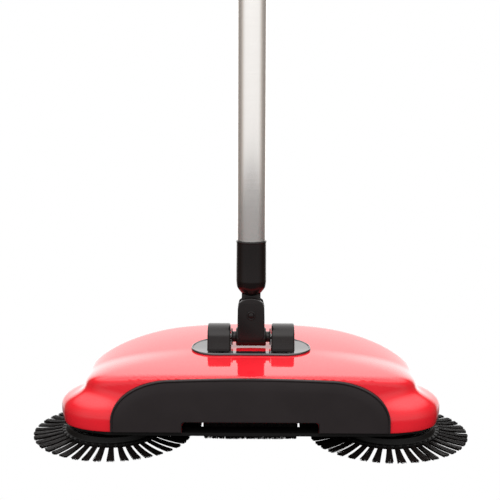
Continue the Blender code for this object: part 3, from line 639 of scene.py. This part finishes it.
def handle_socket():
    """The round socket with a domed foot, a flat tang on the swing pin, and a spigot in the tube."""
    low, high = 125.9, 176.1
    dome = [(11.0 * math.sin(a), low + 11.0 * (1 - math.cos(a)) * 0.75)
            for a in (math.radians(60) * i / 8 for i in range(9))]
    profile = [(0.01, low)] + dome[1:] + rounded(
        [dome[-1], (12.6, low + 8.0), (13.4, low + 14.0), (13.2, high - 1.4), (13.5, high - 1.2),
         (13.5, high), (SPIGOT_R, high), (SPIGOT_R, high + 26), (SPIGOT_R - 1.5, high + 28), (0.01, high + 28)],
        [0, 8, 12, 0.3, 0.2, 0.45, 0, 0.5, 0.4, 0], 5, closed=False)[1:]
    socket = lathe("socket", profile, 72, place=(PIVOT.x, PIVOT.y, 0))
    tang = [(8.4 * math.cos(a), 8.4 * math.sin(a)) for a in
            (math.radians(180 + 180 * i / 24) for i in range(25))] + [(8.4, 19.0), (-8.4, 19.0)]
    join(socket, slab("tang", tang, -5.0, 5.0, 0.6, 3, UPRIGHT, (PIVOT.x, PIVOT.y, SWING_Z)))
    hole = lathe("hole", [(0.01, -15), (2.25, -15), (2.25, 15), (0.01, 15)], 32, turn=TO_Y,
                 place=(PIVOT.x, PIVOT.y, SWING_Z))
    cut(socket, hole)
    return show(socket, "handle_socket_moulded", "joint_black", "handle", ["handle_socket"], sharp=30)


def handle_tubes():
    for name in ("lower_tube", "middle_tube", "upper_tube"):
        low, high = (corner.z for corner in box_mm(name))
        profile = rounded([(TUBE_R - 0.7, low), (TUBE_R, low), (TUBE_R, high), (TUBE_R - 0.7, high)], 0.25, 3)
        made = lathe("tube", profile, 96, True, place=(PIVOT.x, PIVOT.y, 0))
        show(made, f"{name}_polished", "tube_stainless", "handle", [name])


def tube_joiners():
    """Collars between the tubes, each with a shallow groove, and their spigots inside the tubes."""
    for i in (1, 2):
        node = f"tube_joiner_{i}"
        low, high = (corner.z for corner in box_mm(node))
        start, end = low + 26, high - 26
        middle, outer = (start + end) / 2, TUBE_R + 0.6
        profile = rounded(
            [(0.01, low), (SPIGOT_R - 1.2, low), (SPIGOT_R, low + 2), (SPIGOT_R, start), (outer, start),
             (outer, middle - 0.9), (outer - 0.7, middle - 0.6), (outer - 0.7, middle + 0.6),
             (outer, middle + 0.9), (outer, end), (SPIGOT_R, end), (SPIGOT_R, high - 2),
             (SPIGOT_R - 1.2, high), (0.01, high)],
            [0, 0.4, 0.4, 0, 0.7, 0.3, 0.2, 0.2, 0.3, 0.7, 0, 0.4, 0.4, 0], 4, closed=False)
        made = lathe("joiner", profile, 72, place=(PIVOT.x, PIVOT.y, 0))
        show(made, f"{node}_moulded", "joint_black", "handle", [node])


def handle_grip():
    """A soft grip with a swell in the middle and shallow rings round both ends."""
    low, high = (corner.z for corner in box_mm("handle_grip"))
    start = low + 30
    length = high - start
    profile = [(0.01, low), (SPIGOT_R - 1.2, low), (SPIGOT_R, low + 2), (SPIGOT_R, start), (13.9, start),
               (14.8, start + 0.5), (15.2, start + 1.6)]
    steps = 150
    for i in range(steps + 1):
        share = i / steps
        z = start + 3 + (length - 6) * share
        from_end = min(z - start, high - z)
        ring_depth = 0.45 if 6 < from_end < 30 and (from_end - 6) % 4.0 < 1.4 else 0.0
        profile.append((15.2 + 1.55 * math.sin(math.pi * share) - ring_depth, z))
    profile += [(15.2, high - 1.6), (14.9, high - 0.5), (14.2, high), (0.01, high)]
    made = lathe("grip", profile, 72, place=(PIVOT.x, PIVOT.y, 0))
    return show(made, "handle_grip_soft", "grip_black", "handle", ["handle_grip"], sharp=50)


def hang_cap():
    """The end cap with its hanging eye."""
    low, high = (corner.z for corner in box_mm("hang_cap"))
    centre = Vector((PIVOT.x, PIVOT.y, 0))
    skirt = rounded([(0.01, low), (14.6, low), (14.9, low + 4), (12.6, low + 8.5), (0.01, low + 10.0)],
                    [0, 0.5, 1.5, 4, 0], 5, closed=False)
    cap = lathe("cap", skirt, 72, place=centre)
    radius = 11.0
    eye = [(radius * math.cos(a), high - radius + radius * math.sin(a))
           for a in (math.radians(180 * i / 32) for i in range(33))]
    eye += [(-radius, low + 5.0), (radius, low + 5.0)]
    join(cap, slab("eye", eye, -4.5, 4.5, 1.8, 5, UPRIGHT, centre))
    hole = [(6.0 * math.cos(a), 6.0 * math.sin(a) + high - radius - 0.5)
            for a in (math.radians(360 * i / 40) for i in range(40))]
    profile = []
    for k in range(9):
        a = math.radians(-90 + 180 * k / 8)
        profile.append((6.0 + 1.6 * (1 - math.cos(a)), 4.6 * math.sin(a)))
    profile = [(0.01, -6)] + [(7.6, -6)] + profile + [(7.6, 6), (0.01, 6)]
    cut(cap, lathe("hole", profile, 48, turn=TO_Y, place=centre + Vector((0, 0, high - radius - 0.5))))
    return show(cap, "hang_cap_moulded", "joint_black", "handle", ["hang_cap"], sharp=30)


# ---------------------------------------------------------------- brushes

def strands(name, lines, radius, taper=0.8):
    """Thin three-sided filaments along lines of points, as one mesh. Lines is (count, points, 3)."""
    lines = np.asarray(lines, float)
    count, points = lines.shape[:2]
    along = np.gradient(lines, axis=1)
    along /= np.linalg.norm(along, axis=-1, keepdims=True)
    across = np.cross(along, (0.03, 0.02, 1.0))
    across /= np.linalg.norm(across, axis=-1, keepdims=True)
    other = np.cross(along, across)
    width = radius * np.linspace(1.0, taper, points)[None, :, None]
    corners = [lines + width * (across * math.cos(a) + other * math.sin(a))
               for a in (math.radians(90 + 120 * k) for k in range(3))]
    verts = np.stack(corners, 2).reshape(-1, 3) * MM
    first = np.arange(count) * points * 3
    faces = []
    for j in range(points - 1):
        for k in range(3):
            a, b = j * 3 + k, j * 3 + (k + 1) % 3
            faces.append(np.stack([first + a, first + b, first + b + 3, first + a + 3], 1))
    sides = np.concatenate(faces)
    last = first + (points - 1) * 3
    caps = np.concatenate([np.stack([first + 2, first + 1, first], 1), np.stack([last, last + 1, last + 2], 1)])
    mesh = bpy.data.meshes.new(name)
    mesh.from_pydata(verts.tolist(), [], sides.tolist() + caps.tolist())
    mesh.update()
    outward_count = mesh.validate()
    assert not outward_count, "the filaments have bad faces"
    return new_object(name, mesh)


def leaning(points):
    """Leans the points of a side brush forward about the cross shaft, as the part's brush axis does."""
    points = np.asarray(points, float)
    y, z = points[..., 1] - SHAFT_Y, points[..., 2] - SHAFT_Z
    c, s = math.cos(BRUSH_LEAN), math.sin(BRUSH_LEAN)
    return np.stack([points[..., 0], SHAFT_Y + y * c - z * s, SHAFT_Z + y * s + z * c], -1)


def side_brush_bristles(side, sx, seed):
    """Forty flat tufts that spread from the hub's edge and lie on the floor at their tips."""
    rng = np.random.default_rng(seed)
    per_tuft = 84
    share = np.linspace(0.0, 1.0, 6)
    lines = []
    for tuft in range(TUFTS):
        angle = 2 * math.pi * (tuft + 0.5) / TUFTS + rng.normal(0, 0.006)
        trail = rng.normal(0.0, 0.010) - 0.010 * sx
        spread = rng.uniform(0.90, 1.10)
        for _ in range(per_tuft):
            u, v = rng.uniform(-1, 1), rng.uniform(-1, 1)
            root_side, tip_side = 1.75 * u, (3.55 * u + rng.normal(0, 0.18)) * spread
            stray = rng.normal(0, 0.5) if rng.random() < 0.04 else 0.0
            tip = TUFT_TIP_R - 0.5 - abs(rng.normal(0, 0.55)) - 0.35 * u * u
            height = TUFT_TIP_Z + 4.6 + 1.15 * v
            radius = 41.0 + (tip - 41.0) * share
            away = root_side + (tip_side - root_side + stray) * share ** 1.15
            sag = height + (TUFT_TIP_Z + 1.2 + 0.9 * v - height) * np.sin(share * math.pi / 2) ** 0.92
            turn = angle + trail * share ** 2 + away / np.maximum(radius, 1)
            z = np.maximum(sag, TUFT_TIP_Z + 0.26)
            lines.append(leaning(np.stack([sx * BRUSH_X + radius * np.cos(turn),
                                           SHAFT_Y + radius * np.sin(turn), z], 1)))
    made = strands("bristles", lines, 0.25)
    return show(made, f"brush_tufts_{side}", "bristle_black", f"side_brush_{side}", [f"brush_bristles_{side}"],
                sharp=80)


def side_brush_hub(side, sx):
    """The hub: a dished disc with a moulded collar for each tuft round its edge."""
    place = (sx * BRUSH_X, SHAFT_Y, 0)
    low, high = 6.4, 15.2
    profile = rounded(
        [(3.3, low + 2.6), (6.5, low + 2.6), (6.5, low), (HUB_R - 0.4, low), (HUB_R - 0.4, low + 3.0),
         (HUB_R - 2.4, low + 4.0), (HUB_R - 3.4, high), (HUB_R - 6.5, high), (HUB_R - 8.0, low + 3.2),
         (9.8, low + 3.2), (9.8, low + 4.0), (3.3, low + 4.0)],
        [0, 0.4, 0.4, 0.8, 1.0, 1.0, 0.8, 0.8, 1.0, 0.4, 0.3, 0], 4)
    hub = lathe("hub", profile, 120, True, place=place)
    for vertex in hub.data.vertices:
        vertex.co = Vector(leaning(vertex.co / MM)) * MM
    show(hub, f"brush_hub_{side}_moulded", "base_black", f"side_brush_{side}", [f"brush_hub_{side}"])
    rings, faces = [], []
    collar = box_outline(2.15, 1.75, 1.3, 4)
    for tuft in range(TUFTS):
        angle = 2 * math.pi * (tuft + 0.5) / TUFTS
        c, s = math.cos(angle), math.sin(angle)
        start = len(rings)
        levels = ((40.6, 1.0), (HUB_R + 0.3, 1.0), (HUB_R + 0.9, 0.86), (HUB_R + 0.9, 0.6))
        for radius, scale in levels:
            for u, v in collar:
                rings.append((place[0] + radius * c - u * scale * s, place[1] + radius * s + u * scale * c,
                              low + 2.2 + v * scale))
        count = len(collar)
        for k in range(len(levels) - 1):
            a = start + k * count
            faces += [(a + i, a + (i + 1) % count, a + count + (i + 1) % count, a + count + i)
                      for i in range(count)]
        faces.append(tuple(start + i for i in range(count))[::-1])
        faces.append(tuple(start + (len(levels) - 1) * count + i for i in range(count)))
    mesh = mesh_from("collars", leaning(rings), faces)
    outward(mesh)
    show(new_object("collars", mesh), f"tuft_collars_{side}", "base_black", f"side_brush_{side}")


def roller_bristles():
    """A dense roller brush: a solid mass of filaments under six fuller spiral ridges."""
    rng = np.random.default_rng(41)
    low, high = box_mm("roller_bristles")
    half = high.x - 0.3
    mass = [(10.3, low.x), (22.6, low.x), (22.6, high.x), (10.3, high.x)]
    root = lathe("mass", rounded(mass, [0, 1.2, 1.2, 0], 4), 72, True, TO_X, (0, SHAFT_Y, SHAFT_Z))
    show(root, "roller_tuft_roots", "bristle_black", "roller", sharp=80)
    count = 6400
    share = np.linspace(0, 1, 3)
    lines = []
    for _ in range(count):
        x0, angle = rng.uniform(-half, half), rng.uniform(0, 2 * math.pi)
        ridge = math.cos(6 * (angle - 0.9 * abs(x0) / half))
        tip = 24.65 + 0.25 * ridge - abs(rng.normal(0, 0.22))
        radius = 21.5 + (tip - 21.5) * share
        x = np.clip(x0 + rng.normal(0, 0.35) * share, low.x, high.x)
        turn = angle + rng.normal(0, 0.02) * share
        lines.append(np.stack([x, SHAFT_Y + radius * np.sin(turn), SHAFT_Z + radius * np.cos(turn)], 1))
    made = strands("bristles", lines, 0.27)
    return show(made, "roller_tufts", "bristle_black", "roller", ["roller_bristles"], sharp=80)


# ---------------------------------------------------------------- wheels, screws and drawer

def toothed_tread(name, node, grooves, depth, edge):
    """A rubber ring with grooves across its tread, on an axis along X."""
    low, high = box_mm(node)
    centre = (low + high) / 2
    outer = (high.z - low.z) / 2
    inner = outer - 3.0 if outer > 15 else 2.3
    steps = grooves * 8
    profile = rounded([(inner, low.x), (outer, low.x), (outer, high.x), (inner, high.x)], [0, edge, edge, 0], 5)
    rings = []
    for r, x in profile:
        ring_points = []
        for i in range(steps):
            a = 2 * math.pi * i / steps
            sunk = depth if i % 8 in (0, 1) and r > outer - edge * 0.9 else 0.0
            ring_points.append((x, centre.y + (r - sunk) * math.cos(a), centre.z + (r - sunk) * math.sin(a)))
        rings.append(ring_points)
    return solid(name, rings, True)


def wheels():
    for side in SIDES:
        tyre = toothed_tread("tyre", f"tyre_{side}", 30, 0.7, 1.6)
        show(tyre, f"tyre_{side}_grooved", "tread_rubber", f"wheel_set_{side}", [f"tyre_{side}"], sharp=40)
        tail = toothed_tread("tail", f"tail_roller_{side}", 14, 0.35, 0.8)
        show(tail, f"tail_roller_{side}_grooved", "tread_rubber", f"tail_{side}", [f"tail_roller_{side}"], sharp=40)


def crossed_screw(name, node, head_r, body, slot="pin_steel"):
    """A pan-head screw with a cross recess, pointing up."""
    low, high = box_mm(node)
    centre = (low + high) / 2
    flange = low.z + 1.9
    profile = [(0.01, low.z)] + [(head_r * math.sin(a), low.z + 1.7 * (1 - math.cos(a)))
                                 for a in (math.radians(75) * i / 6 for i in range(1, 7))]
    profile += [(head_r, flange), (1.6, flange), (1.6, high.z), (0.01, high.z)]
    screw = lathe("screw", profile, 32, place=(centre.x, centre.y, 0))
    for turn in (0, 90):
        bar = slab("bar", box_outline(head_r * 0.52, 0.45, 0.2, 2), low.z - 1, low.z + 1.15, 0.1, 1,
                   Matrix.Rotation(math.radians(turn), 4, "Z"), (centre.x, centre.y, 0))
        cut(screw, bar)
    return show(screw, name, slot, body, [node])


def screws():
    for side in SIDES:
        for spot in SCREW_SPOTS:
            node = f"case_screw_{spot}_{side}"
            crossed_screw(f"{node}_crossed", node, 3.8, "base")


def dust_drawer():
    """The tray with its ramped lip and ribs, and the rounded face with a finger pull."""
    low, high = box_mm("dust_box")
    half = (high - low) / 2
    centre = (high + low) / 2
    tray = slab("tray", box_outline(half.x, half.y, 2.5, 5, (centre.x, centre.y)), low.z, high.z, 0.6, 3)
    inside = slab("inside", box_outline(half.x - 1.8, half.y - 2.0, 1.6, 4, (centre.x, centre.y - 0.2)),
                  low.z + 2.0, 70, 1.0, 3)
    mouth = slab("mouth", box_outline(half.x + 5, 5.5, 0.5, 2, (centre.x, low.y + 0.5)), low.z + 9, 70, 0.3, 1)
    cut(tray, inside, mouth)
    show(tray, "dust_tray", "base_black", "drawer", ["dust_box"])
    ribs = []
    for y in (20.0, 46.0, 72.0):
        outline = box_outline(half.x - 1.9, 0.7, 0.3, 2, (0, y))
        ribs.append(slab("rib", outline, low.z + 1.7, low.z + 3.4, 0.3, 2))
    rib = ribs[0]
    join(rib, *ribs[1:])
    show(rib, "dust_tray_ribs", "base_black", "drawer")

    low, high = box_mm("dust_box_face")
    half, centre = (high - low) / 2, (high + low) / 2
    outline = box_outline(half.x, half.z, 6.0, 8, (0, centre.z))
    face = slab("face", outline, -high.y, -low.y, 1.6, 5, UPRIGHT)
    pull = slab("pull", box_outline(19.0, 7.0, 6.5, 8, (0, 22.5)), -high.y - 6, -high.y + 5.4, 1.6, 4, UPRIGHT)
    lip = slab("lip", offset(box_outline(19.0, 7.0, 6.5, 8, (0, 22.5)), -1.1), -high.y - 6, -high.y + 0.35, 0.5, 4,
               UPRIGHT)
    cut(face, pull, lip)
    show(face, "dust_drawer_face", "cover_black", "drawer", ["dust_box_face"])
    ridge_list = []
    for k in range(3):
        z = 18.6 + 1.9 * k
        ridge_list.append(slab("ridge", box_outline(14.0, 0.45, 0.4, 3, (0, z)), -high.y + 4.4, -high.y + 5.8, 0.3, 2,
                               UPRIGHT))
    ridges = ridge_list[0]
    join(ridges, *ridge_list[1:])
    show(ridges, "finger_pull_ridges", "base_black", "drawer")


def dress_carried_nodes():
    """Gives every CAD node that still shows its finish and smooth round faces."""
    for item in frame["record"]["subparts"]:
        node = frame["nodes"][item["node"]]
        if node.hide_render:
            continue
        node.data.materials.clear()
        node.data.materials.append(LOOKS[item["material_slot"]])
        node.data.shade_smooth()
        node.data.set_sharp_from_angle(angle=math.radians(30))


# ---------------------------------------------------------------- stage

def studio():
    """A white surround: strong soft light overhead, bright behind, dim low down in front and at the sides."""
    world = bpy.data.worlds.new("studio")
    bpy.context.scene.world = world
    world.use_nodes = True
    tree = world.node_tree
    plain = tree.nodes["Background"]
    plain.inputs["Color"].default_value = (1.0, 1.0, 1.0, 1.0)
    plain.inputs["Strength"].default_value = 1.0
    around = tree.nodes.new("ShaderNodeBackground")
    way = tree.nodes.new("ShaderNodeTexCoord")
    split = tree.nodes.new("ShaderNodeSeparateXYZ")
    tree.links.new(way.outputs["Generated"], split.inputs["Vector"])

    def math_node(operation, a, b=None):
        made = tree.nodes.new("ShaderNodeMath")
        made.operation = operation
        for socket, value in zip(made.inputs, (a, b)):
            if isinstance(value, (int, float)):
                socket.default_value = value
            elif value is not None:
                tree.links.new(value, socket)
        return made.outputs["Value"]

    def ramp(value, start, end, low, high):
        made = tree.nodes.new("ShaderNodeMapRange")
        made.interpolation_type = "SMOOTHSTEP"
        for socket, number in (("From Min", start), ("From Max", end), ("To Min", low), ("To Max", high)):
            made.inputs[socket].default_value = number
        tree.links.new(value, made.inputs["Value"])
        return made.outputs["Result"]

    front = ramp(split.outputs["Y"], 0.25, -0.65, 0.15, 0.85)
    behind = ramp(split.outputs["Y"], 0.72, 0.95, 0.0, 1.6)
    overhead = ramp(split.outputs["Z"], 0.30, 0.72, 0.0, 2.1)
    level = math_node("ADD", math_node("ADD", front, behind), overhead)
    below = ramp(split.outputs["Z"], -0.30, -0.17, 0.15, 1.0)
    tree.links.new(math_node("MULTIPLY", level, below), around.inputs["Strength"])
    tree.links.new(two_tones(tree, level, (1.0, 0.80, 0.64), (1.0, 0.99, 0.98), 0.15, 0.8),
                   around.inputs["Color"])
    rays = tree.nodes.new("ShaderNodeLightPath")
    mix = tree.nodes.new("ShaderNodeMixShader")
    tree.links.new(rays.outputs["Is Camera Ray"], mix.inputs["Fac"])
    tree.links.new(around.outputs["Background"], mix.inputs[1])
    tree.links.new(plain.outputs["Background"], mix.inputs[2])
    tree.links.new(mix.outputs["Shader"], tree.nodes["World Output"].inputs["Surface"])


def area_light(name, place, aim, size, power, glossy, colour=(1, 1, 1)):
    data = bpy.data.lights.new(name, "AREA")
    data.shape = "RECTANGLE"
    data.size, data.size_y = size
    data.energy = power
    data.color = colour
    made = new_object(name, data)
    made.location = place
    made.rotation_euler = (Vector(aim) - Vector(place)).to_track_quat("-Z", "Y").to_euler()
    made.visible_camera = False
    made.visible_glossy = glossy
    return made


def lights():
    area_light("front_fill", (0.0, -2.0, 1.55), (0, 0, 0.1), (2.4, 1.6), 54.0, False)


def camera():
    data = bpy.data.cameras.new("photo_view")
    data.sensor_width = 36.0
    data.lens = 93.74
    data.clip_start, data.clip_end = 0.05, 60.0
    made = new_object("photo_view", data)
    made.location = (0.006, -1.1615, 0.359)
    made.rotation_euler = [math.radians(angle) for angle in (90 - 9.51, -0.2, 0.394)]
    bpy.context.scene.camera = made


def main():
    random.seed(7)
    top_shell()
    screw_bosses()
    front_cover()
    hinge_saddle()
    for seed, (side, sx) in enumerate(SIDES.items()):
        knuckle(side, sx)
        side_brush_hub(side, sx)
        side_brush_bristles(side, sx, 11 + seed)
    swivel_fork()
    swing_pin()
    handle_socket()
    handle_tubes()
    tube_joiners()
    handle_grip()
    hang_cap()
    roller_bristles()
    wheels()
    screws()
    dust_drawer()
    dress_carried_nodes()
    studio()
    lights()
    camera()
    bpy.context.scene.view_settings.view_transform = "Standard"


main()
